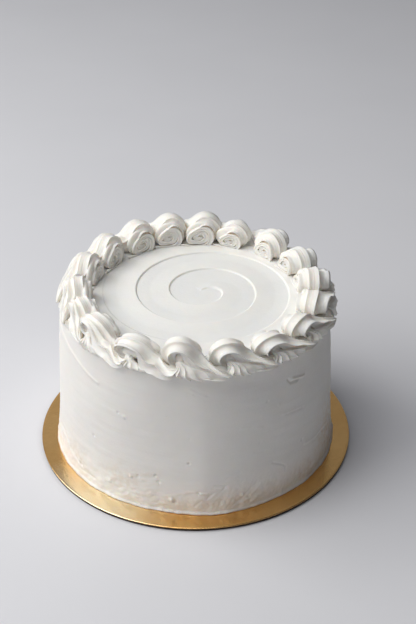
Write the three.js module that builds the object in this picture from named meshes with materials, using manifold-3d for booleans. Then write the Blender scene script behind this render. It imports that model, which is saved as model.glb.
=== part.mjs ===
// A frosted birthday cake on a round gold card, in millimetres, +Z up.
// The origin is the centre of the card's underside, where it stands on the table; -Y is the front.
// The cake is one uncut solid with a slightly flared side and a spatula spiral on its flat top.
// Each piped swirl of the border is a ribbed strand of cream that rolls up, over its own start and
// down to a tail. The start shows inside the roll as a heart, with nested rings towards the cake's
// middle, and as pleats that fan out over the rim. A tail ends where the next swirl's head covers
// it. Pieces that touch keep a small gap.
import * as THREE from "three";
import { mergeVertices } from "three/addons/utils/BufferGeometryUtils.js";
import Module from "manifold-3d";

// Card
const cardDiameter = 203.2;
const cardThickness = 2.5;
const cardEdgeBevel = 0.4;
const cardSegments = 48;

// Cake
const touchGap = 0.3;
const sliverSize = 0.02;
const cakeCentre = { x: 0, y: 0.8 };
const cakeBaseRadius = 89.9;
const cakeTopRadius = 84.4;
const cakeTopZ = 104;
const baseRound = 1.6;
const rimRound = 4;
const rimAngles = [0, 30, 60, 90];
const cakeSegments = 60;

// Spiral that the spatula left on the top: a step on the inner side that ramps down outwards.
// Turning is in degrees clockwise from +X, seen from above.
const spiralCentre = { x: 5.7, y: 5.5 };
const spiralPitch = 20.5;
const spiralRadiusAtZero = 11.6;
const spiralTipRadius = 5;
const spiralTipTurn = -20;
const spiralFreeTurn = 40;
const spiralEndTurn = 790;
const spiralStationTurn = 20;
const spiralStep = 0.9;
const spiralStepWidth = 0.7;
const spiralRampWidth = 11;
const spiralSink = 0.4;
const spiralTipSize = 0.4;
const spiralFadeFrom = 0.72;

// Piped border
const borderCentre = { x: 2.2, y: -1.5 };
const borderRadius = 74.5;
// Azimuth of each head in degrees, how far its crest rises above the cake's top, and how much wider
// than usual its eye is open
const swirlPlaces = [
  [122, 19.5, 0.6], [142, 18.5, 0.6], [161.5, 17.5, 0.3], [183, 17, 0], [200.5, 16, 0], [216, 15, 1],
  [239.5, 13.2, 2.9], [262, 17.6, 0], [283, 15.4, 0], [304, 12.8, 0.5], [325.5, 13, 0.3], [346, 14.5, 0],
  [5.6, 16, 0], [26.4, 16, 0], [47.5, 17, 0], [70.5, 15.5, 0], [86.6, 18.5, 0.3], [104.5, 19, 0.5],
];
const fullRise = 18;
const sizeVariation = 0.04;
const leanVariation = 0.08;
const wideAzimuth = 8;
const wideExtra = 0.2;
const wideInset = 2.2;
const usualGap = 27.3;

// One swirl: the strand starts under the eye, rolls round it and over the crest, and ends in a tail.
// Seen from outside, u runs along the border to the tail, w across it and z up.
const eyePlace = { u: 0.2, z: 5.6 };
const rollStart = -72;
const rollEnd = 155;
const rollSteps = 5;
// A wider eye widens the roll mostly sideways, less under the eye, and thins the strand there.
const openingSharpness = 1.5;
const openingOfUnderside = 0.3;
const openingThinning = 0.8;
// How far the strand's underside may reach towards the eye's middle, as a share of the radius
const deepestInRoll = 0.7;

// Strand's sizes by roll angle: -90 is under the eye, 0 the head, 90 the crest
const rollRadius = [[-90, 3], [0, 4.8], [50, 7.6], [90, 9.2], [125, 7.6], [155, 6.5]];
const rollThickness = [[-90, 2.9], [0, 6.9], [50, 4.6], [90, 3.9], [125, 4.8], [155, 5.6]];
const rollWidth = [[-90, 9.5], [0, 8.2], [90, 8.4], [155, 9.2]];
const rollOffset = [[-90, -2.5], [0, -0.6], [90, 0], [155, 0.7]];
const rollStage = [[0, 0], [90, 1], [155, 1.3]];

// Tail: part of the way to the next crest, height, half thickness, offset across the border, half
// width, stage of the section and lean of its normal along the border. The last row is the tip. Most
// tails end as a pointed leaf. The two at the front left hook up into the next eye.
const leafTail = [
  [0.385, 2.4, 7.5, 3.5, 8.5, 1.7, 0.37],
  [0.6, -1, 7.5, 7, 6, 2, 0],
  [0.745, -1.2, 4.8, 9.5, 3.4, 2.3, 0],
  [0.9, -1.4, 2.4, 11.3, 1.5, 2.6, 0],
  [0.985, -1.4, 0, 12, 0, 3, 0],
];
const hookTail = [
  [0.385, 2.4, 7.5, 3.5, 8.5, 1.7, 0.37],
  [0.6, -1, 8.5, 4, 8.6, 2, 0],
  [0.8, -3.4, 5.2, 7.6, 5.6, 2.6, 0],
  [0.93, -2.2, 4, 9, 3.8, 3, 0],
  [1.02, 1.8, 0, 8.8, 0, 3, 0],
];
const hookedAzimuths = [205, 245];
// The tails arch up between their two ends, and more so at the back.
const tailLift = 1.6;
const tailLiftAtBack = 1.6;
const tailLiftFrom = 0.1;

// Strand's section: degrees at which its ridges stand at the head, at the crest, in the tail and at
// the tail's end, and how far the face after each ridge is hollowed, as a share of its breadth
const ridgeAngles = [
  [-60, 2, 74, 112, 152, 240],
  [-60, 2, 74, 114, 180, 240],
  [-8, 48, 110, 150, 178, 240],
  [-44, 12, 80, 118, 150, 215],
];
const channelSag = [0.3, 0.22, 0, 0.2, 0, 0];
const channelSkew = [1.3, 1.5, 1, 1, 1.6, 1];

// Rolled heart of the eye, from its outer end to the nested rings: w, u, z and half sizes in u and z
const heartStart = [5.4, 2.2, 6];
const heart = [
  [-3, 1.4, 6.4, 7, 6.4],
  [-9.3, 1, 6.6, 8.6, 6.9],
  [-8.9, 1.6, 6.1, 7.3, 5.6],
  [-10.8, 2.1, 5.6, 6.3, 4.6],
];
const heartEnd = [-9.9, 3.2, 4.8];
const heartSides = 7;

// Pleats that fan out of the eye: part of the fan, then u, w, z where it hangs and where it ends
const fan = [
  [0, [-1.2, 6.2, 5.6], [-0.6, 10.6, -2]],
  [0.22, [0, 7.6, 6.8], [3.4, 11.9, -2.7]],
  [0.45, [2.6, 8.8, 7], [8, 12.4, -3]],
  [0.72, [9.5, 10.4, 4.4], [17, 12.7, -2.4]],
  [1, [25, 12, -0.6], [25.6, 12.3, -1.2]],
];
const fanReachWhenHooked = 0.5;
const fanPleats = 4;
const fanCrowding = 0.95;
const fanValley = 0.33;
const fanDepth = 1.4;
const fanDepthInward = 0.6;
const fanBulge = 1.6;
const fanBulgeAt = 0.6;
const fanTuck = 2.2;
const fanBack = 6;
const fanBackTaper = 0.6;
const fanThinnest = 0.4;

const creamWhite = 0xf3f0ea;
const foilGold = 0xc99a4e;

const wasm = await Module();
wasm.setup();

const degrees = Math.PI / 180;
const mix = (a, b, t) => a + (b - a) * t;
const smooth = (t) => t * t * (3 - 2 * t);
const clamp = (x, low, high) => Math.min(high, Math.max(low, x));

// Seeded draw from -1 to 1, the same on every run
function makeDraw(seed) {
  let state = seed;
  return () => {
    state = (Math.imul(state, 1664525) + 1013904223) >>> 0;
    return state / 2147483648 - 1;
  };
}

// Value between [key, value] pairs in rising order of key
function between(pairs, key) {
  const next = pairs.findIndex(([k]) => k >= key);
  if (next < 0) return pairs.at(-1)[1];
  if (next === 0) return pairs[0][1];
  const [k0, v0] = pairs[next - 1];
  const [k1, v1] = pairs[next];
  return mix(v0, v1, (key - k0) / (k1 - k0));
}

// Closed surface through rings of equally many points, with a fan at each end
function skinRings(rings, startPoint, endPoint) {
  const count = rings[0].length;
  const positions = [startPoint, ...rings.flat(), endPoint].flat();
  const lastIndex = rings.length * count + 1;
  const at = (ring, i) => 1 + ring * count + ((i + count) % count);
  const faces = [];
  for (let i = 0; i < count; i++) {
    faces.push(0, at(0, i + 1), at(0, i));
    faces.push(lastIndex, at(rings.length - 1, i), at(rings.length - 1, i + 1));
    for (let ring = 0; ring < rings.length - 1; ring++) {
      faces.push(at(ring, i), at(ring, i + 1), at(ring + 1, i));
      faces.push(at(ring, i + 1), at(ring + 1, i + 1), at(ring + 1, i));
    }
  }
  const geometry = new THREE.BufferGeometry();
  geometry.setAttribute("position", new THREE.Float32BufferAttribute(positions, 3));
  geometry.setIndex(faces);
  return geometry;
}

function toSolid(geometry) {
  const merged = mergeVertices(geometry, 1e-4);
  return new wasm.Manifold(
    new wasm.Mesh({
      numProp: 3,
      vertProperties: new Float32Array(merged.attributes.position.array),
      triVerts: new Uint32Array(merged.index.array),
    }),
  );
}

function toGeometry(solid) {
  const mesh = solid.getMesh();
  const geometry = new THREE.BufferGeometry();
  geometry.setAttribute("position", new THREE.BufferAttribute(mesh.vertProperties, 3));
  geometry.setIndex(new THREE.BufferAttribute(mesh.triVerts, 1));
  geometry.computeVertexNormals();
  return geometry;
}

// Card: a disc with bevelled edges
function cardGeometry() {
  const r = cardDiameter / 2;
  const profile = [
    [0, 0],
    [r - cardEdgeBevel, 0],
    [r, cardEdgeBevel],
    [r, cardThickness - cardEdgeBevel],
    [r - cardEdgeBevel, cardThickness],
    [0, cardThickness],
  ].map(([x, y]) => new THREE.Vector2(x, y));
  const geometry = new THREE.LatheGeometry(profile, cardSegments);
  geometry.rotateX(Math.PI / 2);
  geometry.deleteAttribute("normal");
  geometry.deleteAttribute("uv");
  return toGeometry(toSolid(geometry));
}

// Ridge of the spiral, sunk a little into the flat top
function spiralRidge() {
  const turns = spiralEndTurn - spiralTipTurn;
  const count = Math.round(turns / spiralStationTurn);
  const rings = Array.from({ length: count + 1 }, (_, i) => {
    const t = i / count;
    const turn = spiralTipTurn + turns * t;
    const free = smooth(clamp((turn - spiralTipTurn) / (spiralFreeTurn - spiralTipTurn), 0, 1));
    const archimedean = spiralRadiusAtZero + (spiralPitch * turn) / 360;
    const radius = mix(spiralTipRadius, archimedean, free);
    const done = smooth(clamp((t - spiralFadeFrom) / (1 - spiralFadeFrom), 0, 1));
    const height = mix(spiralStep * mix(spiralTipSize, 1, free), -spiralSink / 2, done);
    const ramp = spiralRampWidth * mix(spiralTipSize, 1, free);
    return [
      [radius, -spiralSink],
      [radius + spiralStepWidth, height],
      [radius + spiralStepWidth + ramp, -spiralSink],
    ].map(([r, z]) => [
      spiralCentre.x + r * Math.cos(turn * degrees),
      spiralCentre.y - r * Math.sin(turn * degrees),
      cakeTopZ + z,
    ]);
  });
  const middle = (ring) => [0, 1, 2].map((k) => (ring[0][k] + ring[1][k] + ring[2][k]) / 3);
  return toSolid(skinRings(rings, middle(rings[0]), middle(rings.at(-1))));
}

// Cake body: outline from the base up the side and over the rim
function cakeOutline(grow) {
  const slope = (cakeTopRadius - cakeBaseRadius) / cakeTopZ;
  const sideRadius = (z) => cakeBaseRadius + slope * z;
  const baseZ = cardThickness + touchGap;
  const outline = [
    [cakeBaseRadius - baseRound, baseZ],
    [sideRadius(baseZ + baseRound), baseZ + baseRound],
  ];
  for (const angle of rimAngles) {
    const inset = rimRound * (1 - Math.cos(angle * degrees));
    const rise = rimRound * Math.sin(angle * degrees);
    outline.push([sideRadius(cakeTopZ) - inset, cakeTopZ - rimRound + rise]);
  }
  return outline.map(([r, z]) => [r + grow, z + grow]);
}

function cakeBody(grow) {
  const rings = cakeOutline(grow).map(([r, z]) =>
    Array.from({ length: cakeSegments }, (_, i) => {
      const angle = (i / cakeSegments) * 2 * Math.PI;
      return [cakeCentre.x + r * Math.cos(angle), cakeCentre.y + r * Math.sin(angle), z];
    }),
  );
  const { x, y } = cakeCentre;
  return toSolid(skinRings(rings, [x, y, rings[0][0][2]], [x, y, rings.at(-1)[0][2]]));
}

// Where the strand is on its way round the eye
function rollStation(swirl, angle) {
  const normal = [-Math.cos(angle * degrees), Math.sin(angle * degrees)];
  const side = Math.abs(normal[0]) ** openingSharpness * (angle > 0 ? 1 : openingOfUnderside);
  const wider = swirl.opening * side;
  const radius = between(rollRadius, angle) + wider;
  return {
    u: eyePlace.u + normal[0] * radius * (angle > 90 ? swirl.stretch : 1),
    w: between(rollOffset, angle),
    z: eyePlace.z + normal[1] * radius,
    normal,
    thickness: between(rollThickness, angle) - openingThinning * wider,
    width: between(rollWidth, angle),
    stage: between(rollStage, angle),
    reach: deepestInRoll * radius,
  };
}

// Stations from the start, round the eye and over the crest, to the tail's end
function strandStations(swirl) {
  const stations = Array.from({ length: rollSteps + 1 }, (_, i) =>
    rollStation(swirl, mix(rollStart, rollEnd, i / rollSteps)),
  );
  for (const [part, z, thickness, w, width, stage, lean] of swirl.hooked ? hookTail : leafTail) {
    const arched = Math.sin((Math.PI * (part - tailLiftFrom)) / (1 - tailLiftFrom));
    const place = { u: swirl.gap * part, w, z: z + swirl.lift * Math.max(0, arched) };
    const normal = [lean, Math.sqrt(1 - lean * lean)];
    stations.push({ ...place, normal, thickness, width, stage, reach: thickness });
  }
  return stations;
}

// A point of a swirl, bent round the border and set on the cake
function placeOnBorder(swirl, u, w, z) {
  const across = w * swirl.broad + swirl.lean * u;
  const radius = borderRadius - swirl.inset + across * swirl.size;
  const angle = swirl.azimuth * degrees + (u * swirl.size) / borderRadius;
  return [
    borderCentre.x + radius * Math.cos(angle),
    borderCentre.y + radius * Math.sin(angle),
    cakeTopZ + z * swirl.rise,
  ];
}

// Section of the strand as [across, out] points: ridges, with the hollows of the channels between.
// Its underside reaches no further in than the station's reach.
function sectionPoints(station, grow, withChannels) {
  const low = Math.min(Math.floor(station.stage), ridgeAngles.length - 2);
  const ridges = ridgeAngles[low].map((angle, k) => {
    const turned = mix(angle, ridgeAngles[low + 1][k], station.stage - low) * degrees;
    const across = (station.width + grow) * Math.cos(turned);
    const out = (station.thickness + grow) * Math.sin(turned);
    return new THREE.Vector2(across, Math.max(out, -station.reach - grow));
  });
  if (!withChannels) return ridges;
  return ridges.flatMap((ridge, k) => {
    if (channelSag[k] === 0) return [ridge];
    const chord = ridges[(k + 1) % ridges.length].clone().sub(ridge);
    const inward = new THREE.Vector2(-chord.y, chord.x);
    const deepest = 0.5 ** (1 / channelSkew[k]);
    return [ridge, ridge.clone().addScaledVector(chord, deepest).addScaledVector(inward, channelSag[k])];
  });
}

// Strand as a closed solid, swollen by grow for clearance cuts
function strandSolid(swirl, grow, withChannels) {
  const stations = strandStations(swirl);
  const rings = stations.slice(0, -1).map((s) =>
    sectionPoints(s, grow, withChannels)
      .reverse()
      .map(({ x, y }) => placeOnBorder(swirl, s.u + s.normal[0] * y, s.w + x, s.z + s.normal[1] * y)),
  );
  const first = stations[0];
  const last = stations.at(-1);
  const startPoint = placeOnBorder(swirl, first.u, first.w, first.z);
  const endPoint = placeOnBorder(swirl, last.u, last.w, last.z);
  return toSolid(skinRings(rings, startPoint, endPoint));
}

// Heart of the eye: elliptical rows whose nested rings stand out towards the cake's middle
function heartSolid(swirl, grow) {
  const rings = heart.map(([w, u, z, halfU, halfZ]) =>
    Array.from({ length: heartSides }, (_, i) => {
      const angle = (-i / heartSides) * 2 * Math.PI;
      const along = (halfU + swirl.opening + grow) * Math.cos(angle);
      return placeOnBorder(swirl, u + along, w, z + (halfZ + grow) * Math.sin(angle));
    }),
  );
  const middle = ([w, u, z]) => placeOnBorder(swirl, u, w, z);
  return toSolid(skinRings(rings, middle(heartStart), middle(heartEnd)));
}

// Where a pleat's line lies at a part of the fan: end 1 is where it hangs, end 2 its rim
function fanPoint(swirl, part, end) {
  const [u, w, z] = [0, 1, 2].map((axis) =>
    between(fan.map((row) => [row[0], row[end][axis]]), part),
  );
  const reach = swirl.stretch * (swirl.hooked ? fanReachWhenHooked : 1);
  return [u > 0 ? u * reach : u, w, z];
}

// Pleats: ridges and valleys in turn, with a plain back inside the swirl
function fanSolid(swirl, grow, withValleys) {
  const ridges = Array.from({ length: fanPleats + 1 }, (_, k) => [k, 1]);
  const valleys = ridges.slice(0, fanPleats).map(([k]) => [k + fanValley, 0]);
  const columns = withValleys ? [...ridges, ...valleys].sort((a, b) => a[0] - b[0]) : ridges;
  const rings = columns.map(([place, ridge]) => {
    const part = (place / fanPleats) ** (1 / fanCrowding);
    const hinge = fanPoint(swirl, part, 1);
    const rim = fanPoint(swirl, part, 2);
    const fade = 1 - part;
    const out = grow + fanDepth * (ridge - fanDepthInward) * fade;
    const bulge = hinge.map((value, axis) => mix(value, rim[axis], fanBulgeAt));
    const middle = hinge.map((value, axis) => mix(value, rim[axis], 0.5));
    const back = fanBack * fade ** fanBackTaper + fanThinnest;
    return [
      [hinge[0], hinge[1] + out / 3, hinge[2] + grow],
      [bulge[0], bulge[1] + out + fanBulge * fade, bulge[2]],
      [rim[0], rim[1] + out - fanTuck * fade, rim[2] - grow],
      [middle[0], hinge[1] - back, middle[2]],
    ].map(([u, w, z]) => placeOnBorder(swirl, u, w, z));
  });
  const middle = (ring) => [0, 1, 2].map((k) => ring.reduce((sum, p) => sum + p[k], 0) / ring.length);
  return toSolid(skinRings(rings, middle(rings[0]), middle(rings.at(-1))));
}

// A whole swirl: the strand, its heart and its pleats
function swirlSolid(swirl, grow, withHollows) {
  const strand = strandSolid(swirl, grow, withHollows);
  return strand.add(heartSolid(swirl, grow)).add(fanSolid(swirl, grow, withHollows));
}

// Largest body of a cut solid, without the slivers that the cuts leave
function largestBody(solid) {
  const bodies = solid.simplify(sliverSize).decompose();
  return bodies.reduce((a, b) => (a.volume() > b.volume() ? a : b));
}

// Every swirl with its own size, lean and breadth
function makeSwirls() {
  const draw = makeDraw(11);
  return swirlPlaces.map(([azimuth, rise, opening], i) => {
    const nextAzimuth = swirlPlaces[(i + 1) % swirlPlaces.length][0];
    const gap = ((nextAzimuth - azimuth + 360) % 360) * degrees * borderRadius;
    const onWideSide = Math.max(0, Math.cos((azimuth - wideAzimuth) * degrees)) ** 2;
    return {
      azimuth,
      gap,
      stretch: gap / usualGap,
      opening,
      hooked: hookedAzimuths[0] < azimuth && azimuth < hookedAzimuths[1],
      lift: tailLift + tailLiftAtBack * Math.sin(azimuth * degrees),
      size: 1 + sizeVariation * draw(),
      rise: rise / fullRise,
      lean: leanVariation * draw(),
      broad: 1 + wideExtra * onWideSide,
      inset: wideInset * onWideSide,
    };
  });
}

function addMesh(group, name, geometry, color, roughness, metalness) {
  const material = new THREE.MeshStandardMaterial({ color, roughness, metalness });
  const mesh = new THREE.Mesh(geometry, material);
  mesh.name = name;
  group.add(mesh);
}

const cake = new THREE.Group();
addMesh(cake, "cake_card", cardGeometry(), foilGold, 0.35, 1);
addMesh(cake, "frosted_cake", toGeometry(cakeBody(0).add(spiralRidge())), creamWhite, 0.6, 0);

// Each tail is cut back where the next head, and the cake, take its place
const swirls = makeSwirls();
const clearance = cakeBody(touchGap);
swirls.forEach((swirl, i) => {
  const nextHead = swirlSolid(swirls[(i + 1) % swirls.length], touchGap, false);
  const solid = largestBody(swirlSolid(swirl, 0, true).subtract(nextHead).subtract(clearance));
  const name = `piped_swirl_${String(i + 1).padStart(2, "0")}`;
  addMesh(cake, name, toGeometry(solid), creamWhite, 0.55, 0);
});

export default cake;
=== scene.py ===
# Looks for the frosted birthday cake on its round gold card. Shapes are in millimetres until a mesh is made,
# and the camera, the lights and the materials are in metres. Azimuths are in degrees, counter-clockwise from
# +X. The origin is the centre of the card's underside, +Z is up and -Y is the front.
import math
import bpy
import numpy as np
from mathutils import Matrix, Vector


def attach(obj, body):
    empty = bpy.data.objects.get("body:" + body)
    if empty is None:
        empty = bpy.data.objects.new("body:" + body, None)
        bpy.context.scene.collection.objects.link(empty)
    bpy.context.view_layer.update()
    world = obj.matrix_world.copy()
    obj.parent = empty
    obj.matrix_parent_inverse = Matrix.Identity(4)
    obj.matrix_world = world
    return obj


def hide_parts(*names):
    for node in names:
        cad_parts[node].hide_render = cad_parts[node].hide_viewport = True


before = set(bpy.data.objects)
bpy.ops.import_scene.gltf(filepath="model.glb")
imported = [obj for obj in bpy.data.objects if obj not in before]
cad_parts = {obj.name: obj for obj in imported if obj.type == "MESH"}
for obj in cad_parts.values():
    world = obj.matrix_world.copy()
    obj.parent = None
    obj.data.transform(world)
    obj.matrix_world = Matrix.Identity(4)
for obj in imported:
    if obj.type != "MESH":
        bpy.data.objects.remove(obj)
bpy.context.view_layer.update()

MM = 0.001
BODY = "root"

# Camera, fitted to the card's outline in the photo: its image and focal length in pixels
IMAGE_HEIGHT = 624
FOCAL_PIXELS = 1340
SENSOR = 36
CAMERA_PLACE = (0.00817, -0.7111, 0.5455)
CAMERA_PITCH_DOWN = 32.52

# Cream in two close tones, painted light low on the side where the floor and card throw light back onto it,
# and the heights where that starts and is full, the crumb where the cream was scraped thin, in patches and
# along the marks, painted shade in a patch low on the shaded right, and the shade in the border's creases
SIDE_TONES = ((0.84, 0.82, 0.78), (0.87, 0.85, 0.81))
PIPED_TONES = ((0.86, 0.84, 0.79), (0.89, 0.87, 0.82))
LOW_PAINTED_LIGHT = (0.99, 0.965, 0.925)
LOW_HEIGHTS = (0.030, 0.006)
CRUMB_TAN = (0.80, 0.70, 0.58)
CRUMB_AND_SHADE_BROWN = (0.76, 0.63, 0.48)
CREASE_TAN = (0.80, 0.67, 0.50)
CREASE_REACH = 0.004

# Gold foil, deep and in a painted pale reflection at the front left, the place of that reflection and the
# distances from it where the pale gold starts and is full, the pulp board and the floor
FOIL_DEEP = ((0.84, 0.49, 0.17), (0.92, 0.57, 0.22))
FOIL_PAINTED_REFLECTION = ((0.96, 0.78, 0.48), (0.98, 0.86, 0.62))
REFLECTION_PLACE = (-0.062, -0.083, 0.0025)
REFLECTION_FADE = (0.054, 0.012)
BOARD_TONES = ((0.016, 0.008, 0.005), (0.05, 0.026, 0.015))
FLOOR_TONES = ((0.67, 0.675, 0.705), (0.685, 0.69, 0.72))
FLOOR_HALF = 3000

# Lights: a broad window on the left, a softer light above, and the room, which is bright behind, on its left
# above all, and at the front left, and nearly dark elsewhere
WINDOW_PLACE = (-1.02, -0.02, 1.06)
WINDOW_SIZE = (1.5, 0.75)
WINDOW_POWER = 16.4
WINDOW_COLOR = (1, 0.99, 0.97)
CEILING_PLACE = (-0.3, -0.1, 1.38)
CEILING_SIZE = (0.75, 0.75)
CEILING_POWER = 7.0
CEILING_COLOR = (1, 0.99, 0.98)
LIGHT_TARGET = (0, 0, 0.06)
ROOM_COLOR = (0.93, 0.94, 1.0)
ROOM_BEHIND = 0.52
ROOM_LEFT_SHARE = (0.7, 1.35)
ROOM_MIDDLE_BLEND = 0.05
ROOM_FRONT = 0.48
ROOM_FRONT_WAY = (-0.5, -0.87)
ROOM_REST = 0.02

# Card: the foil's lip hangs over the edge of the board, which rises a little inside it to carry the foil
CARD_RADIUS = 101.6
CARD_THICKNESS = 2.5
CARD_SEGMENTS = 256
FOIL_LIP = 0.65
FOIL_ROUND = 0.55
FOIL_LEVEL_INSET = 1.6
FOIL_MIDDLE_RING = 80
BOARD_INSET = 0.35
BOARD_EDGE = 0.6
BOARD_CORNER = 0.15
SEAT_BREADTH = 1.2
SEAT_RISE = 0.45

# Cake: a scraped side whose columns are crowded towards the front and, inside the border, a shallow disc with
# the spatula's spiral on it and a wave of some height and wavelength
CAKE_CENTRE = (0.0, 0.8)
BASE_RADIUS = 89.9
TOP_RADIUS = 84.4
BASE_Z = 2.6
TOP_Z = 104.0
RIM_ROUND = 4.0
FOOT_INSET = 0.8
FOOT_RISE = 0.25
SIDE_RADIUS = 87.0
SIDE_COLUMNS = 620
SIDE_ROWS = 146
CROWDED_FRONT = 0.3
PLATEAU_RADIUS = 74
DISC_RADIUS = 72.5
DISC_DEPTH = 1.0
DISC_COLUMNS = 480
DISC_RINGS = 104
DISC_SAMPLES = 1600
TOP_WAVE = (0.12, 45)

# Spiral on the top, turning in degrees clockwise from +X seen from above
SPIRAL_CENTRE = (5.7, 5.5)
SPIRAL_PITCH = 21.1
SPIRAL_RADIUS_AT_ZERO = 10.4
SPIRAL_TIP_RADIUS = 1.6
SPIRAL_TIP_TURN = -140
SPIRAL_FREE_TURN = 20
SPIRAL_END_TURN = 1080
SPIRAL_STEP = 0.95
SPIRAL_STEP_WIDTH = 1.15
SPIRAL_RAMP = 12.0
SPIRAL_FADE_FROM = 0.58
# How many more rings the disc has at the spiral's step, and how far from it they start to crowd
RINGS_AT_STEP = 4
RINGS_STEP_REACH = 1.6

# Marks on the scraped side: a line of (azimuth in degrees, height), half width, height out of the side, and
# how much of the brown crumb shows along it
SIDE_MARKS = [
    ([(190, 95.6), (192.5, 94.6), (196.3, 93.0), (202.9, 91.0), (210.5, 88.4), (217.9, 85.2), (223.3, 83.0),
      (227.5, 81.6)], 0.8, 0.75, 0),
    ([(310.9, 85.0), (312.6, 82.0), (316.6, 80.9)], 0.8, -1.0, 0),
    ([(313.6, 84.0), (317.0, 82.6), (320.2, 81.6)], 0.7, 0.9, 0),
    ([(309.9, 61.0), (314.4, 60.2), (319.4, 59.1)], 0.4, -0.35, 0),
    ([(308.0, 62.4), (313.5, 61.7), (318.0, 60.7)], 0.5, 0.2, 0),
    ([(288.6, 62.0), (292.0, 61.4)], 0.5, 0.3, 0),
    ([(295.5, 59.6), (298.1, 58.6)], 0.5, 0.25, 0),
    ([(294.5, 42.2), (299.0, 41.3)], 0.6, -0.2, 0),
    ([(351.0, 23.0), (347.3, 24.8), (334.1, 29.5), (326.6, 29.3), (320.6, 31.1)], 0.8, 0.55, 0),
    ([(348.0, 21.6), (334.5, 26.6), (327.0, 26.4)], 0.7, -0.4, 0),
    ([(302.7, 29.9), (306.1, 27.0), (308.7, 24.1)], 0.45, -0.4, 0),
    ([(308.7, 24.1), (309.6, 22.0), (309.3, 19.8)], 0.45, -0.4, 0),
    ([(216.6, 15.4), (215.3, 8.2), (224.7, 8.9)], 0.6, -0.4, 0),
    ([(231.5, 12.8), (236.7, 18.4), (242.4, 24.2), (248.6, 26.6), (253.6, 29.3), (255.6, 29.2)],
     1.0, 0.1, 0.4),
    ([(233.5, 12.0), (238.5, 17.0), (243.6, 22.6), (249.6, 25.0), (254.6, 27.4)], 0.6, -0.07, 0.3),
    ([(255.1, 26.8), (256.0, 21.9)], 0.6, -0.15, 0.35),
    ([(256.8, 12.8), (264.0, 16.8), (270.2, 19.5)], 0.7, 0.16, 0.35),
    ([(272.5, 18.7), (275.0, 17.7)], 0.6, 0.5, 0),
    ([(278.0, 23.3), (282.4, 22.3), (280.8, 19.0), (277.2, 18.2), (274.9, 14.7)], 0.5, -0.4, 0),
    ([(282.8, 27.4), (288.1, 30.2)], 0.5, -0.3, 0),
    ([(270.2, 9.0), (272.5, 12.7), (275.3, 10.9)], 0.5, -0.4, 0),
    ([(282.7, 7.1), (288.5, 9.8), (291.0, 14.7), (295.3, 19.4)], 0.8, -0.3, 0),
    ([(285.0, 6.6), (290.5, 8.6), (293.5, 13.2), (297.3, 17.8)], 0.8, 0.25, 0),
    ([(326.5, 8.3), (322.2, 8.1)], 0.8, 0.6, 0),
    ([(193.6, 20.4), (200.5, 22.1), (211.7, 13.6), (224.7, 8.2)], 0.8, -0.35, 0.3),
    ([(193.0, 17.6), (201.5, 18.6), (211.0, 10.6)], 0.7, 0.3, 0),
    ([(268.5, 92.0), (271.5, 89.6), (274.4, 88.0)], 0.6, 0.3, 0),
    ([(270.0, 89.4), (273.0, 88.2), (275.5, 88.8)], 0.4, -0.35, 0),
]
# Pits and bumps on the side: azimuth, height, half width, height out of the side
SIDE_SPOTS = [
    (237.9, 67.1, 0.6, -0.6), (240.7, 65.4, 1.1, 0.35), (224.9, 41.5, 0.6, -0.6), (259.0, 72.0, 0.4, -0.4),
    (216.6, 11.5, 0.8, -0.7), (267.8, 39.8, 0.6, -0.6), (243.7, 23.4, 0.8, 0.6), (246.8, 25.1, 0.8, -0.5),
    (254.2, 28.0, 0.7, -0.8), (255.6, 24.0, 0.9, -0.45), (260.8, 12.6, 1.2, 0.9), (262.4, 10.6, 0.8, -0.6),
    (233.7, 13.9, 0.8, 0.5), (268.4, 57.5, 0.6, -0.25), (271.5, 18.7, 0.6, -0.7), (289.0, 13.6, 0.8, 0.5),
    (291.6, 11.0, 0.9, -0.5), (297.0, 48.0, 0.6, -0.3), (300.4, 76.0, 0.5, -0.3), (306.0, 70.5, 0.6, 0.25),
    (318.8, 35.5, 0.7, -0.4),
]
SPOT_RELIEF = 1.5
# Height and wavelength of the side's waves: one broad, streaks drawn out along the spatula's way, and a
# rougher foot up to a height that wanders
BROAD_WAVE = (0.35, 70)
STREAKS = ((0.05, 7), (0.03, 2.6))
STREAK_LENGTH = 9
ROUGH_WAVES = ((0.19, 11), (0.2, 5))
ROUGH_FROM = 5
ROUGH_UP_TO = 34
ROUGH_WANDER = (6, 40)
# Crumbly lip at the foot: how far it stands out, how high it reaches and the height and wavelength by which
# that wanders
LIP = (1.15, 2.0)
LIP_WANDER = (0.6, 14)
# Soft fold where the side turns: azimuths where the flat before it starts, of the fold itself and where the
# rise has run out behind it, its blur in degrees, its height at the base and near the top, and the heights
# from which it changes and fades, each with the breadth of the change
SIDE_FOLD = (255, 272.5, 308)
FOLD_SOFTNESS = 2.5
FOLD_HEIGHT = (1.9, 1.4)
FOLD_CHANGE = (15, 70)
FOLD_FADE = (86, 14)
# Flattened front: its azimuth, half breadth in degrees and depth
FLATTENED_FRONT = (268, 42, 1.3)
# Soft patches of brown, crumb showing through and, in the first, low on the shaded right, painted shade as
# well:
# azimuth, height, half breadth, half height and share of brown
CRUMB_AND_SHADE_PATCHES = [
    (342, 20, 18, 24, 0.9), (322, 8, 16, 9, 0.6), (284, 11, 22, 7, 0.45), (262, 8, 14, 5, 0.4),
    (240, 20, 17, 9, 0.4), (214, 16, 14, 11, 0.35),
]
CRUMB_SPREAD = 1.5
# Clean cream at the foot: how high it stands and over what height the crumb and its painted shade come in
CLEAN_FOOT = (0.8, 1.6)

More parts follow.
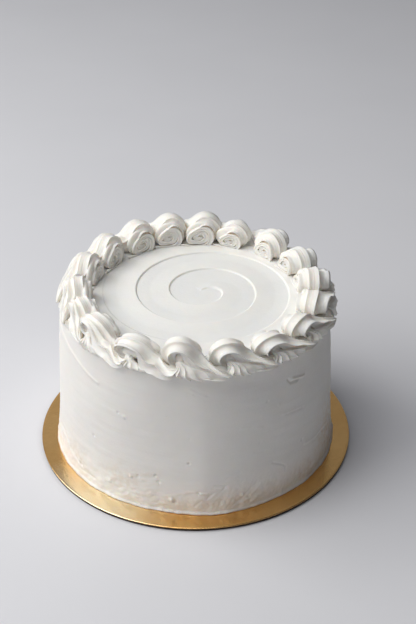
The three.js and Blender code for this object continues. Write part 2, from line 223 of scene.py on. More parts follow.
# Piped border: azimuth of each head, how far its crest rises above the top, and how much wider than usual its
# eye is open
BORDER_CENTRE = (2.2, -1.5)
BORDER_RADIUS = 74.5
SWIRL_PLACES = [
    (122, 18.9, 0.6), (142, 18.5, 0.6), (161.5, 17.5, 0.3), (183, 17, 0), (200.5, 16, 0), (216, 15, 1.0),
    (239.5, 13.2, 2.9), (262, 17.6, 0), (283, 15.4, 0), (304, 12.8, 0.5), (325.5, 13, 0.3), (346, 14.5, 0),
    (5.6, 16, 0), (26.4, 16, 0), (47.5, 17, 0), (70.5, 15.5, 0), (86.6, 18.5, 0.3), (104.5, 19, 0.5),
]
FULL_RISE = 18
SIZE_VARIATION = 0.04
LEAN_VARIATION = 0.08
# Swirls round this azimuth are broader across the border and sit further in
WIDE_AZIMUTH = 8
WIDE_EXTRA = 0.2
WIDE_INSET = 2.2

# One swirl: u runs along the border to the tail, w across it outwards and z up from the cake's top. Its
# strand runs in low under the roll, turns back over its start through the roll's angles and ends in the tail.
# What changes through the roll is a list of (angle, value)
EYE_PLACE = (0.2, 5.6)
RUN_LENGTH = 11
RUN_ROWS = 12
RUN_SWELL = 0.5
RUN_START_THICKNESS = 0.8
RUN_START_WIDTH = 1.2
RUN_START_OFFSET = -4.5
ROLL_START = -90
ROLL_END = 155
ROLL_ROWS = 34
HEAD_ANGLE = 12
EYE_LOW_SHARE = 0.3
THINNER_WHEN_OPEN = 0.8
ROLL_RADIUS = [(-90, 3.0), (0, 5.2), (50, 7.8), (90, 9.2), (125, 8.2), (155, 7.2)]
ROLL_THICKNESS = [(-90, 2.9), (0, 6.9), (50, 4.6), (90, 3.9), (125, 4.8), (155, 5.6)]
ROLL_WIDTH = [(-90, 7.4), (0, 8.2), (90, 8.4), (155, 9.2)]
ROLL_OFFSET = [(-90, -0.6), (0, -0.6), (90, 0), (155, 0.7)]
ROLL_STAGE = [(0, 0), (90, 1), (155, 1.3)]
USUAL_GAP = 27.3
# Tails, one that ends as a pointed leaf and one whose end hooks up into the next eye: part of the way to the
# next crest, height, half thickness, offset across the border, half width, stage of the section and lean of
# its normal along the border
LEAF_TAIL = [
    (0.385, 2.4, 7.5, 3.5, 8.5, 1.7, 0.37),
    (0.600, -1.0, 7.5, 7.0, 6.0, 2.0, 0),
    (0.745, -1.2, 4.8, 9.5, 3.4, 2.3, 0),
    (0.900, -1.4, 2.4, 11.3, 1.5, 2.6, 0),
    (0.970, -1.4, 0.8, 11.9, 0.5, 3.0, 0),
]
HOOK_TAIL = [
    (0.385, 2.4, 7.5, 3.5, 8.5, 1.7, 0.37),
    (0.600, -1.0, 8.5, 4.0, 8.6, 2.0, 0),
    (0.800, -3.4, 5.2, 7.6, 5.6, 2.6, 0),
    (0.930, -2.2, 4.0, 9.0, 3.8, 3.0, 0),
    (1.010, 1.4, 3.2, 8.8, 2.6, 3.0, 0),
    (1.060, 5.0, 1.2, 8.0, 1.2, 3.0, 0),
]
HOOKED_AZIMUTHS = (205, 245)
TAIL_LIFT = 1.6
TAIL_LIFT_AT_BACK = 1.6
TAIL_LIFT_FROM = 0.1

# Core of the eye, from its outer end to the flat that faces the cake's middle: w, u, z and half sizes along
# u and z
CORE = [
    (6.0, 2.0, 6.0, 0.5, 1.2),
    (5.4, 2.2, 6.0, 2.6, 3.4),
    (3.0, 2.2, 6.0, 4.4, 5.0),
    (-2.0, 2.4, 6.4, 8.4, 6.4),
    (-4.8, 3.4, 7.0, 10.0, 8.6),
    (-6.2, 3.4, 6.8, 9.4, 7.6),
    (-7.0, 3.4, 6.4, 6.0, 5.0),
]
CORE_POINTS = 48
CORE_STEP = 0.8
CORE_BLUR = 0.6
# Edge of the rolled strand, coiled flat on the core: where it starts and how far it turns in degrees, its
# centre (u, z) and half sizes along u and z, each with how much it varies
COIL_START = -25
COIL_TURN = 840
COIL_TURN_VARIATION = 130
COIL_CENTRE = (4.4, 5.8)
COIL_CENTRE_VARIATION = (1.2, 0.6)
COIL_SIZE = (10.8, 7.2)
COIL_SIZE_VARIATION = 0.1
COIL_OPENING = 0.6
# How much lower and narrower the coil gets towards the tail, shift of its inner end along the border, share
# of its size left at its end and how that shrinks, and how far its start reaches out along the tail
COIL_SINK_AT_TAIL = 2.6
COIL_PINCH_AT_TAIL = 0.45
COIL_SHIFT = -1.8
COIL_END = 0.1
COIL_SHRINK = 0.85
COIL_TAIL = 2.6
# Share of the gap between turns that the band fills, the way its place across the border changes from start
# to end, its half depth, the notch that runs along it, and the wavelengths in degrees of its unevenness
COIL_FILL = 0.45
COIL_PLACE = [(0, -8.0), (0.3, -7.6), (0.7, -7.2), (1, -6.9)]
COIL_DEPTH = 1.4
COIL_NOTCH = 0.55
COIL_NOTCH_BREADTH = 0.35
COIL_UNEVEN = ((0.03, 90), (0.1, 120))
COIL_POINTS = 32
COIL_ROWS = 170
# Squeezed start of the strand on the outer side: pleats that fan out of the eye down to the rim of the top.
# Part of the fan, then u, w and z where it hangs and where it ends
FAN = [
    (0.00, (-1.2, 6.2, 5.6), (-0.6, 10.6, -2.0)),
    (0.22, (0.0, 7.6, 6.8), (3.4, 11.9, -2.7)),
    (0.45, (2.6, 8.8, 7.0), (8.0, 12.4, -3.0)),
    (0.72, (9.5, 10.4, 4.4), (17.0, 12.7, -2.4)),
    (1.00, (25.0, 12.0, -0.6), (25.6, 12.3, -1.2)),
]
FAN_REACH_WHEN_HOOKED = 0.5
# Pleats of the fan, how they crowd, vary and lean, their height at the hanging line and at the rim, the
# fan's side sway and bulge, the scallops and the tuck of its rim, and how thick it is to its plain back
FAN_PLEATS = 5
FAN_CROWDING = 0.95
FAN_UNEVEN = 0.22
FAN_SKEW = 0.62
FAN_DEPTH = (0.8, 2.0)
FAN_BEND = 1.4
FAN_BULGE = 1.6
FAN_SCALLOP = 0.5
FAN_TUCK = 2.2
FAN_BACK = 6.0
FAN_COLUMNS = 200
FAN_ROWS = 24
FAN_BACK_ROWS = 6
FAN_BLUR = 9

# Strand section: where the piping tip's ridges stand round it at each stage from the roll to the tail's end,
# how far the channel after each ridge is hollowed as a share of its breadth, how its deepest place is
# shifted, how upright its walls are, and the depth of the fine lines in it
RIDGE_ANGLES = [
    [-60, 2, 74, 112, 152, 240],
    [-60, 2, 74, 114, 180, 240],
    [-8, 48, 110, 150, 178, 240],
    [-44, 12, 80, 118, 150, 215],
]
CHANNEL_SAG = [0.34, 0.27, 0.14, 0.24, 0.18, 0.06]
CHANNEL_SKEW = [1.3, 1.5, 1.0, 1.0, 1.6, 1.0]
CHANNEL_WALL = 0.6
STRIATION = 0.2
# Swirls that face the window show an extra ridge in two of their channels
SPLIT_AZIMUTHS = (80, 225)
SPLIT_CHANNELS = (1, 4)
SPLIT_RIDGE = 0.12
POINTS_PER_RIDGE = 14
STATION_STEP = 0.6
STATION_BLUR = 1.9
# Unevenness of the cream, as share of the section and wavelength, drawn out along the strand
STRAND_UNEVEN = ((0.02, 6), (0.012, 2.2))
STRAND_DRAWN_OUT = 3.5


def mix(a, b, t):
    """Value a share t of the way from a to b."""
    return a + (b - a) * t


def smooth(t):
    """Soft step from 0 to 1 while t runs from 0 to 1."""
    t = np.clip(t, 0, 1)
    return t * t * (3 - 2 * t)


def between(pairs, key):
    """Value at key on the straight lines through pairs of (key, value)."""
    return float(np.interp(key, *zip(*pairs)))


def make_draw(seed):
    """Seeded draw from -1 to 1 in a fixed order."""
    state = seed

    def draw():
        nonlocal state
        state = (state * 1664525 + 1013904223) & 0xFFFFFFFF
        return state / 2147483648 - 1

    return draw


def ripple(points, wavelength, seed, waves=9):
    """Smooth uneven field of about unit size over points, with wavelengths round the given one."""
    rng = np.random.default_rng(seed)
    points = np.asarray(points, float)
    total = np.zeros(points.shape[:-1])
    for _ in range(waves):
        direction = rng.normal(size=points.shape[-1])
        direction /= np.linalg.norm(direction)
        length = wavelength * rng.uniform(0.7, 1.6)
        total += np.sin(points @ direction * (2 * math.pi / length) + rng.uniform(0, 2 * math.pi))
    return total * math.sqrt(2 / waves) / 1.4


def make_piece(name, points, faces, material):
    """Smooth-shaded object made from points in millimetres."""
    mesh = bpy.data.meshes.new(name)
    mesh.from_pydata((np.asarray(points) * MM).tolist(), [], faces)
    mesh.materials.append(material)
    mesh.polygons.foreach_set("use_smooth", np.ones(len(mesh.polygons), bool))
    mesh.update()
    piece = bpy.data.objects.new(name, mesh)
    bpy.context.scene.collection.objects.link(piece)
    return piece


def skin_rings(rings, start, end):
    """Points and faces of a closed surface through rings of equally many points, fanned at both ends."""
    rings = np.asarray(rings)
    count, around = rings.shape[:2]
    points = np.vstack([[start], rings.reshape(-1, 3), [end]])
    i = np.arange(around)
    j = (i + 1) % around
    faces = [(0, int(1 + b), int(1 + a)) for a, b in zip(i, j)]
    last = len(points) - 1
    base = 1 + (count - 1) * around
    faces += [(last, int(base + a), int(base + b)) for a, b in zip(i, j)]
    for ring in range(count - 1):
        low = 1 + ring * around
        high = low + around
        faces += np.stack([low + i, low + j, high + j, high + i], 1).tolist()
    return points, faces


# Materials
def new_material(name):
    material = bpy.data.materials.new(name)
    material.use_nodes = True
    return material, material.node_tree.nodes, material.node_tree.links


def noise_node(nodes, links, coords, scale, detail=3, roughness=0.5):
    node = nodes.new("ShaderNodeTexNoise")
    node.inputs["Scale"].default_value = scale
    node.inputs["Detail"].default_value = detail
    node.inputs["Roughness"].default_value = roughness
    links.new(coords, node.inputs["Vector"])
    return node.outputs["Fac"]


def ramp_node(nodes, links, source, low, high, places=(0.3, 0.7)):
    """Color that runs from low to high while source runs between two places."""
    node = nodes.new("ShaderNodeValToRGB")
    for element, place, color in zip(node.color_ramp.elements, places, (low, high)):
        element.position = place
        element.color = (*color, 1)
    links.new(source, node.inputs["Fac"])
    return node.outputs["Color"]


def range_node(nodes, links, source, ends, results=(0, 1)):
    """Value that runs between two results while source runs between two ends."""
    node = nodes.new("ShaderNodeMapRange")
    node.inputs["From Min"].default_value, node.inputs["From Max"].default_value = ends
    node.inputs["To Min"].default_value, node.inputs["To Max"].default_value = results
    links.new(source, node.inputs["Value"])
    return node.outputs[0]


def math_node(nodes, links, operation, a, b):
    node = nodes.new("ShaderNodeMath")
    node.operation = operation
    for socket, value in zip(node.inputs, (a, b)):
        if isinstance(value, (int, float)):
            socket.default_value = value
        else:
            links.new(value, socket)
    return node.outputs[0]


def mix_colors(nodes, links, factor, a, b):
    node = nodes.new("ShaderNodeMix")
    node.data_type = "RGBA"
    links.new(factor, node.inputs["Factor"])
    for socket, value in ((node.inputs[6], a), (node.inputs[7], b)):
        if isinstance(value, tuple):
            socket.default_value = (*value, 1)
        else:
            links.new(value, socket)
    return node.outputs[2]


def add_bump(nodes, links, height, strength, distance):
    node = nodes.new("ShaderNodeBump")
    node.inputs["Strength"].default_value = strength
    node.inputs["Distance"].default_value = distance
    links.new(height, node.inputs["Height"])
    links.new(node.outputs[0], nodes["Principled BSDF"].inputs["Normal"])


def gray(value):
    return (value, value, value)


def add_crumb_and_painted_light(nodes, links, coords, color):
    """Paints light low on the side and lays brown over it: crumb in patches and marks, painted shade at the
    right.
    """
    parts = nodes.new("ShaderNodeSeparateXYZ")
    links.new(coords, parts.inputs[0])
    height = range_node(nodes, links, parts.outputs["Z"], LOW_HEIGHTS)
    patches = noise_node(nodes, links, coords, 34, 3, 0.55)
    mask = ramp_node(nodes, links, patches, gray(0.0), gray(0.34), (0.42, 0.62))
    mask = math_node(nodes, links, "MULTIPLY", mask, height)
    # Painted light: the side is made lighter low down, where light thrown back from the floor and card falls
    # on it.
    color = mix_colors(nodes, links, height, color, LOW_PAINTED_LIGHT)
    color = mix_colors(nodes, links, mask, color, CRUMB_TAN)
    # Brown laid where marked: crumb, and painted shade in the patch low on the shaded right.
    marked = nodes.new("ShaderNodeAttribute")
    marked.attribute_name = "crumb"
    broken = noise_node(nodes, links, coords, 260, 3, 0.6)
    broken = ramp_node(nodes, links, broken, gray(0.25), gray(1.0), (0.4, 0.6))
    shown = math_node(nodes, links, "MULTIPLY", marked.outputs["Fac"], broken)
    return mix_colors(nodes, links, shown, color, CRUMB_AND_SHADE_BROWN)


def add_creases(nodes, links, _, color):
    """Warms color where the folds of the cream shut out the light."""
    hollow = nodes.new("ShaderNodeAmbientOcclusion")
    hollow.inputs["Distance"].default_value = CREASE_REACH
    hollow.samples = 8
    deep = ramp_node(nodes, links, hollow.outputs["AO"], gray(0.8), gray(0.0), (0.1, 0.42))
    return mix_colors(nodes, links, deep, color, CREASE_TAN)


def cream_material(name, tones, add_shades):
    """Buttercream: soft translucent white with fine pores, and add_shades laid over its color."""
    material, nodes, links = new_material(name)
    shader = nodes["Principled BSDF"]
    coords = nodes.new("ShaderNodeTexCoord").outputs["Object"]
    color = ramp_node(nodes, links, noise_node(nodes, links, coords, 55, 4, 0.6), *tones)
    links.new(add_shades(nodes, links, coords, color), shader.inputs["Base Color"])
    rough = ramp_node(nodes, links, noise_node(nodes, links, coords, 140), gray(0.5), gray(0.64))
    links.new(rough, shader.inputs["Roughness"])
    shader.inputs["IOR"].default_value = 1.42
    shader.inputs["Subsurface Weight"].default_value = 0.35
    shader.inputs["Subsurface Radius"].default_value = (1.0, 0.72, 0.48)
    shader.inputs["Subsurface Scale"].default_value = 0.004
    grain = noise_node(nodes, links, coords, 1400, 4, 0.6)
    pores = math_node(nodes, links, "MULTIPLY", noise_node(nodes, links, coords, 420, 2), 1.6)
    add_bump(nodes, links, math_node(nodes, links, "ADD", grain, pores), 0.35, 0.00012)
    return material


def foil_material():
    """Gold laminated foil, rippled over the pressed card, with a painted pale reflection at the front left.
    """
    material, nodes, links = new_material("gold_foil")
    shader = nodes["Principled BSDF"]
    coords = nodes.new("ShaderNodeTexCoord").outputs["Object"]
    broad = noise_node(nodes, links, coords, 30)
    deep = ramp_node(nodes, links, broad, *FOIL_DEEP)
    pale = ramp_node(nodes, links, broad, *FOIL_PAINTED_REFLECTION)
    # Painted reflection: the gold turns pale round a place at the front left, where it mirrors the lit cake
    # and room.
    away = nodes.new("ShaderNodeVectorMath")
    away.operation = "DISTANCE"
    links.new(coords, away.inputs[0])
    away.inputs[1].default_value = REFLECTION_PLACE
    reflection = range_node(nodes, links, away.outputs["Value"], REFLECTION_FADE)
    links.new(mix_colors(nodes, links, reflection, deep, pale), shader.inputs["Base Color"])
    shader.inputs["Metallic"].default_value = 1
    fine = noise_node(nodes, links, coords, 150, 5, 0.65)
    links.new(ramp_node(nodes, links, fine, gray(0.12), gray(0.24)), shader.inputs["Roughness"])
    add_bump(nodes, links, fine, 0.4, 0.0005)
    return material


def board_material():
    """Brown pulp board under the foil, seen as the card's lower edge and underside."""
    material, nodes, links = new_material("brown_board")
    shader = nodes["Principled BSDF"]
    coords = nodes.new("ShaderNodeTexCoord").outputs["Object"]
    pulp = noise_node(nodes, links, coords, 900, 5, 0.7)
    links.new(ramp_node(nodes, links, pulp, *BOARD_TONES), shader.inputs["Base Color"])
    shader.inputs["Roughness"].default_value = 0.75
    add_bump(nodes, links, pulp, 0.4, 0.0002)
    return material


def floor_material():
    """Plain pale floor with a faint haze in its tone."""
    material, nodes, links = new_material("pale_floor")
    shader = nodes["Principled BSDF"]
    coords = nodes.new("ShaderNodeTexCoord").outputs["Object"]
    haze = noise_node(nodes, links, coords, 9)
    links.new(ramp_node(nodes, links, haze, *FLOOR_TONES), shader.inputs["Base Color"])
    shader.inputs["Roughness"].default_value = 0.6
    return material


# Card
def lathe(profile):
    """Closed solid turned round the card's axis: profile runs from the axis below to the axis above."""
    angles = np.arange(CARD_SEGMENTS) * (2 * math.pi / CARD_SEGMENTS)
    rings = [np.stack([r * np.cos(angles), r * np.sin(angles), np.full(CARD_SEGMENTS, z)], 1)
             for r, z in profile[1:-1]]
    return skin_rings(rings, (0, 0, profile[0][1]), (0, 0, profile[-1][1]))


def make_card(foil, board):
    lip_z = CARD_THICKNESS - FOIL_LIP
    inner = CARD_RADIUS - BOARD_INSET
    board_profile = [
        (0, 0), (inner - BOARD_EDGE, 0), (inner - BOARD_CORNER, BOARD_CORNER), (inner, BOARD_EDGE),
        (inner, lip_z + 0.2), (inner - SEAT_BREADTH, lip_z + SEAT_RISE), (0, lip_z + SEAT_RISE),
    ]
    foil_profile = [
        (0, lip_z + SEAT_RISE + 0.05), (inner - SEAT_BREADTH, lip_z + SEAT_RISE + 0.05),
        (inner + 0.05, lip_z + 0.1), (CARD_RADIUS - 0.12, lip_z),
    ]
    middle = lip_z + FOIL_LIP / 2
    for bend in np.radians((-50, -20, 10, 35, 60, 80)):
        foil_profile.append((CARD_RADIUS - FOIL_ROUND + FOIL_ROUND * math.cos(bend),
                             middle + FOIL_LIP / 2 * math.sin(bend)))
    foil_profile += [(CARD_RADIUS - FOIL_LEVEL_INSET, CARD_THICKNESS), (FOIL_MIDDLE_RING, CARD_THICKNESS),
                     (0, CARD_THICKNESS)]
    board_piece = make_piece("brown_board_base", *lathe(board_profile), board)
    foil_piece = make_piece("gold_foil_top", *lathe(foil_profile), foil)
    for piece in (board_piece, foil_piece):
        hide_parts("cake_card")
        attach(piece, BODY)


# Cake
def spiral_relief(x, y):
    """Height of the spatula spiral above the flat top."""
    dx = x - SPIRAL_CENTRE[0]
    dy = y - SPIRAL_CENTRE[1]
    distance = np.hypot(dx, dy)
    heading = np.degrees(np.arctan2(-dy, dx)) % 360
    relief = np.zeros_like(distance)
    for lap in (-1, 0, 1, 2):
        turn = heading + 360 * lap
        inside = (turn >= SPIRAL_TIP_TURN) & (turn <= SPIRAL_END_TURN)
        radius = arm_radius(turn)
        free = smooth((turn - SPIRAL_TIP_TURN) / (SPIRAL_FREE_TURN - SPIRAL_TIP_TURN))
        t = (turn - SPIRAL_TIP_TURN) / (SPIRAL_END_TURN - SPIRAL_TIP_TURN)
        fade = 1 - smooth((t - SPIRAL_FADE_FROM) / (1 - SPIRAL_FADE_FROM))
        height = SPIRAL_STEP * mix(0.45, 1, free) * fade
        off = distance - radius
        rise = smooth(off / SPIRAL_STEP_WIDTH)
        ramp = np.clip(1 - (off - SPIRAL_STEP_WIDTH) / (SPIRAL_RAMP * mix(0.4, 1, free)), 0, 1)
        relief = np.maximum(relief, np.where(inside, height * rise * ramp, 0))
    return relief


def arm_radius(turn):
    """Distance of the spiral's step from its centre, easing in from the tip to an even pitch."""
    free = smooth((turn - SPIRAL_TIP_TURN) / (SPIRAL_FREE_TURN - SPIRAL_TIP_TURN))
    return mix(SPIRAL_TIP_RADIUS, SPIRAL_RADIUS_AT_ZERO + SPIRAL_PITCH * turn / 360, free)


def line_relief(along, z, line, half_width, height):
    """Height of a ridge or groove with soft ends; along and the line's azimuths are in degrees."""
    line = np.array(line, float)
    scale = np.array([math.radians(1) * SIDE_RADIUS, 1])
    points = np.stack([along, z], -1) * scale
    nearest = np.full(along.shape, np.inf)
    for start, end in zip(line[:-1] * scale, line[1:] * scale):
        way = end - start
        part = np.clip((points - start) @ way / (way @ way), 0, 1)
        away = np.linalg.norm(points - start - part[..., None] * way, axis=-1)
        nearest = np.minimum(nearest, away)
    return height * np.exp(-(nearest / half_width) ** 2)


def fold_relief(along, z):
    """Height of the soft fold, after its edge is blurred along the side."""
    flat_start, fold, fold_end = SIDE_FOLD
    rise = 0
    for shift in (-1, -0.5, 0, 0.5, 1):
        here = along + shift * FOLD_SOFTNESS
        slope = np.clip((here - flat_start) / (fold - flat_start), 0, 1) ** 2
        rise += slope / 5 * smooth((fold_end - here) / (fold_end - fold))
    height = mix(*FOLD_HEIGHT, smooth((z - FOLD_CHANGE[0]) / FOLD_CHANGE[1]))
    return rise * height * (1 - smooth((z - FOLD_FADE[0]) / FOLD_FADE[1]))


def side_relief(angle, z):
    """How far the scraped side stands out from a plain cone."""
    place = np.stack([SIDE_RADIUS * np.cos(angle), SIDE_RADIUS * np.sin(angle), z], -1)
    drawn_out = np.stack([SIDE_RADIUS * angle / STREAK_LENGTH, z], -1)
    (streak, streak_wave), (fine, fine_wave) = STREAKS
    relief = BROAD_WAVE[0] * ripple(place, BROAD_WAVE[1], 21) + streak * ripple(drawn_out, streak_wave, 22)
    relief += fine * ripple(drawn_out, fine_wave, 26)
    rough_up_to = ROUGH_UP_TO + ROUGH_WANDER[0] * ripple(place, ROUGH_WANDER[1], 24)
    low = 1 - smooth((z - ROUGH_FROM) / (rough_up_to - ROUGH_FROM))
    (rough, rough_wave), (ridged, ridged_wave) = ROUGH_WAVES
    relief += low * (rough * ripple(place, rough_wave, 23, 14)
                     + ridged * np.abs(ripple(place, ridged_wave, 25, 14)))
    reach = LIP[1] + LIP_WANDER[0] * ripple(place, LIP_WANDER[1], 27)
    relief += LIP[0] * (1 - smooth((z - BASE_Z) / reach))
    along = np.degrees(angle) % 360
    middle, breadth, sink = FLATTENED_FRONT
    relief -= sink * np.exp(-((along - middle) / breadth) ** 2)
    relief += fold_relief(along, z)
    for line, half_width, height, _ in SIDE_MARKS:
        relief += line_relief(along, z, line, half_width, height)
    for azimuth, height_above, half_width, height in SIDE_SPOTS:
        spot = [(azimuth, height_above), (azimuth + 0.1, height_above)]
        relief += line_relief(along, z, spot, half_width, SPOT_RELIEF * height)
    return relief


def crumb_and_shade_share(points):
    """How much brown is laid on points of the side: crumb, and painted shade in a patch on the shaded right.
    """
    along = np.degrees(np.arctan2(points[:, 1] - CAKE_CENTRE[1], points[:, 0] - CAKE_CENTRE[0])) % 360
    share = np.zeros(len(points))
    for line, half_width, _, crumb in SIDE_MARKS:
        if crumb:
            spread = CRUMB_SPREAD * half_width
            share = np.maximum(share, line_relief(along, points[:, 2], line, spread, crumb))
    for azimuth, height, half_breadth, half_height, crumb in CRUMB_AND_SHADE_PATCHES:
        away = np.hypot(np.radians(along - azimuth) * SIDE_RADIUS / half_breadth,
                        (points[:, 2] - height) / half_height)
        share = np.maximum(share, crumb * np.exp(-away ** 2))
    return share * smooth((points[:, 2] - BASE_Z - CLEAN_FOOT[0]) / CLEAN_FOOT[1])


def cake_ring(angles, radius, z):
    """Points round the cake's axis, with one radius for all or one each."""
    return np.stack([CAKE_CENTRE[0] + radius * np.cos(angles), CAKE_CENTRE[1] + radius * np.sin(angles),
                     np.broadcast_to(z, angles.shape)], 1)


def add_cake_piece(name, rings, cream):
    """Closes rings into a piece of the frosted cake and marks the crumb and painted shade on it."""
    start = (*CAKE_CENTRE, float(rings[0][:, 2].mean()))
    end = (*CAKE_CENTRE, float(rings[-1][:, 2].mean()))
    points, faces = skin_rings(rings, start, end)
    piece = make_piece(name, points, faces, cream)
    # The crumb attribute holds the crumb and the painted shade low on the shaded right.
    piece.data.attributes.new("crumb", "FLOAT", "POINT").data.foreach_set("value", crumb_and_shade_share(points))
    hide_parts("frosted_cake")
    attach(piece, BODY)


def make_side(cream):
    """Scraped side up to the rounded rim and the level part under the border."""
    even = np.arange(SIDE_COLUMNS) * (2 * math.pi / SIDE_COLUMNS)
    angles = even - CROWDED_FRONT * np.sin(even + math.pi / 2)
    slope = (TOP_RADIUS - BASE_RADIUS) / TOP_Z
    rings = [cake_ring(angles, BASE_RADIUS - FOOT_INSET, BASE_Z)]
    for z in np.linspace(BASE_Z + FOOT_RISE, TOP_Z - RIM_ROUND, SIDE_ROWS):
        relief = side_relief(angles, np.full(SIDE_COLUMNS, z))
        rings.append(cake_ring(angles, BASE_RADIUS + slope * z + relief, z))
    top_edge = TOP_RADIUS + side_relief(angles, np.full(SIDE_COLUMNS, TOP_Z - RIM_ROUND))
    for bend in np.radians((22, 45, 68, 90)):
        rings.append(cake_ring(angles, top_edge - RIM_ROUND * (1 - math.cos(bend)),
                               TOP_Z - RIM_ROUND + RIM_ROUND * math.sin(bend)))
    rings.append(cake_ring(angles, PLATEAU_RADIUS, TOP_Z))
    rings.append(cake_ring(angles, DISC_RADIUS - DISC_DEPTH, TOP_Z - DISC_DEPTH))
    add_cake_piece("frosted_side", rings, cream)


def crowded_radii(angle):
    """Radii of the top's rings in one direction, crowded together where the spiral's step crosses it."""
    sample = np.linspace(1, DISC_RADIUS, DISC_SAMPLES)
    dx = CAKE_CENTRE[0] + sample * math.cos(angle) - SPIRAL_CENTRE[0]
    dy = CAKE_CENTRE[1] + sample * math.sin(angle) - SPIRAL_CENTRE[1]
    distance = np.hypot(dx, dy)
    heading = np.degrees(np.arctan2(-dy, dx)) % 360
    near = np.full(sample.shape, np.inf)
    for lap in (0, 1, 2):
        off = distance - arm_radius(heading + 360 * lap) - SPIRAL_STEP_WIDTH / 2
        near = np.minimum(near, np.abs(off))
    density = 1 + RINGS_AT_STEP * np.exp(-(near / RINGS_STEP_REACH) ** 2)
    total = np.concatenate([[0], np.cumsum((density[1:] + density[:-1]) / 2)])
    return np.interp(np.linspace(0, total[-1], DISC_RINGS), total, sample)


def make_top(cream):
    """Top inside the border, with the spatula's spiral on it."""
    angles = np.arange(DISC_COLUMNS) * (2 * math.pi / DISC_COLUMNS)
    ring_radii = np.array([crowded_radii(angle) for angle in angles])
    rings = [cake_ring(angles, DISC_RADIUS - DISC_DEPTH, TOP_Z - DISC_DEPTH)]
    for radii in ring_radii.T[::-1]:
        points = cake_ring(angles, radii, TOP_Z)
        inside = smooth((DISC_RADIUS - radii) / 8)
        wave = TOP_WAVE[0] * ripple(points[:, :2], TOP_WAVE[1], 31) * inside
        points[:, 2] += spiral_relief(points[:, 0], points[:, 1]) + wave
        rings.append(points)
    add_cake_piece("frosted_top", rings, cream)


# Piped swirls
def make_swirls():
    """Every swirl with its own size, lean and breadth, drawn in the same order as the solids."""
    draw = make_draw(11)
    swirls = []
    for i, (azimuth, rise, opening) in enumerate(SWIRL_PLACES):
        gap = (SWIRL_PLACES[(i + 1) % len(SWIRL_PLACES)][0] - azimuth) % 360
        wide = max(0, math.cos(math.radians(azimuth - WIDE_AZIMUTH))) ** 2
        swirls.append({
            "azimuth": math.radians(azimuth),
            "gap": math.radians(gap) * BORDER_RADIUS,
            "size": 1 + SIZE_VARIATION * draw(),
            "rise": rise / FULL_RISE,
            "opening": opening,
            "lean": LEAN_VARIATION * draw(),
            "broad": 1 + WIDE_EXTRA * wide,
            "inset": WIDE_INSET * wide,
            "hooked": HOOKED_AZIMUTHS[0] < azimuth < HOOKED_AZIMUTHS[1],
            "split": SPLIT_AZIMUTHS[0] < azimuth < SPLIT_AZIMUTHS[1],
            "lift": TAIL_LIFT + TAIL_LIFT_AT_BACK * math.sin(math.radians(azimuth)),
            "seed": 100 + i,
        })
    return swirls


def roll_row(angle, stretch, opening):
    """u, z, w, half thickness, half width, stage and the normal's u and z where the strand rolls."""
    turn = math.radians(angle)
    wider = opening * abs(math.cos(turn)) ** 1.5 * (1 if angle > 0 else EYE_LOW_SHARE)
    radius = between(ROLL_RADIUS, angle) + wider
    along = -math.cos(turn) * (stretch if angle > 90 else 1)
    thickness = between(ROLL_THICKNESS, angle) - THINNER_WHEN_OPEN * wider
    return [EYE_PLACE[0] + along * radius, EYE_PLACE[1] + math.sin(turn) * radius,
            between(ROLL_OFFSET, angle), thickness, between(ROLL_WIDTH, angle), between(ROLL_STAGE, angle),
            -math.cos(turn), math.sin(turn)]


def strand_rows(swirl):
    """Even rows along the strand, as in roll_row, and the index of the row at its head."""
    rows = []
    stretch = swirl["gap"] / USUAL_GAP
    under = roll_row(ROLL_START, stretch, swirl["opening"])
    for i in range(RUN_ROWS):
        t = i / RUN_ROWS
        swell = RUN_SWELL * math.sin(t * math.pi)
        thickness = mix(RUN_START_THICKNESS, under[3], t) + swell
        rows.append([under[0] + RUN_LENGTH * (1 - t), under[1] + swell, mix(RUN_START_OFFSET, under[2], t),
                     thickness, mix(RUN_START_WIDTH, under[4], t), 0, 0, -1])
    roll_angles = np.linspace(ROLL_START, ROLL_END, ROLL_ROWS)
    rows += [roll_row(angle, stretch, swirl["opening"]) for angle in roll_angles]
    head = RUN_ROWS + int(np.argmin(np.abs(roll_angles - HEAD_ANGLE)))
    table = HOOK_TAIL if swirl["hooked"] else LEAF_TAIL
    for part, z, thickness, w, width, stage, lean in table:
        lifted = math.sin(math.pi * (part - TAIL_LIFT_FROM) / (1 - TAIL_LIFT_FROM))
        lift = swirl["lift"] * max(0, lifted)
        rows.append([swirl["gap"] * part, z + lift, w, thickness, width, stage, lean,
                     math.sqrt(1 - lean * lean)])
    fine, even, lengths = even_rows(rows, [1, 0.6], STATION_STEP, STATION_BLUR)
    return fine, int(np.searchsorted(even, lengths[head]))


def even_rows(rows, weights, step, blur):
    """Rows resampled at even steps along their first two columns and softened."""
    rows = np.array(rows, float)
    lengths = np.concatenate([[0], np.cumsum(np.hypot(*(np.diff(rows[:, :2], axis=0) * weights).T))])
    even = np.linspace(0, lengths[-1], int(lengths[-1] / step) + 1)
    fine = np.stack([np.interp(even, lengths, column) for column in rows.T], 1)
    return blur_rows(fine, blur / step), even, lengths


def blur_rows(rows, sigma):
    """Rows softened along their order, with the ends kept by mirroring."""
    reach = int(3 * sigma) + 1
    kernel = np.exp(-0.5 * (np.arange(-reach, reach + 1) / sigma) ** 2)
    kernel /= kernel.sum()
    before = 2 * rows[0] - rows[reach:0:-1]
    after = 2 * rows[-1] - rows[-2:-reach - 2:-1]
    padded = np.vstack([before, rows, after])
    return np.stack([np.convolve(column, kernel, "valid") for column in padded.T], 1)


def place_on_border(swirl, u, w, z):
    """Points of the part's frame from a swirl's own u, w and z."""
    across = w * swirl["broad"] + swirl["lean"] * u
    radius = BORDER_RADIUS - swirl["inset"] + across * swirl["size"]
    angle = swirl["azimuth"] + u * swirl["size"] / BORDER_RADIUS
    return np.stack([BORDER_CENTRE[0] + radius * np.cos(angle),
                     BORDER_CENTRE[1] + radius * np.sin(angle), TOP_Z + z * swirl["rise"]], -1)


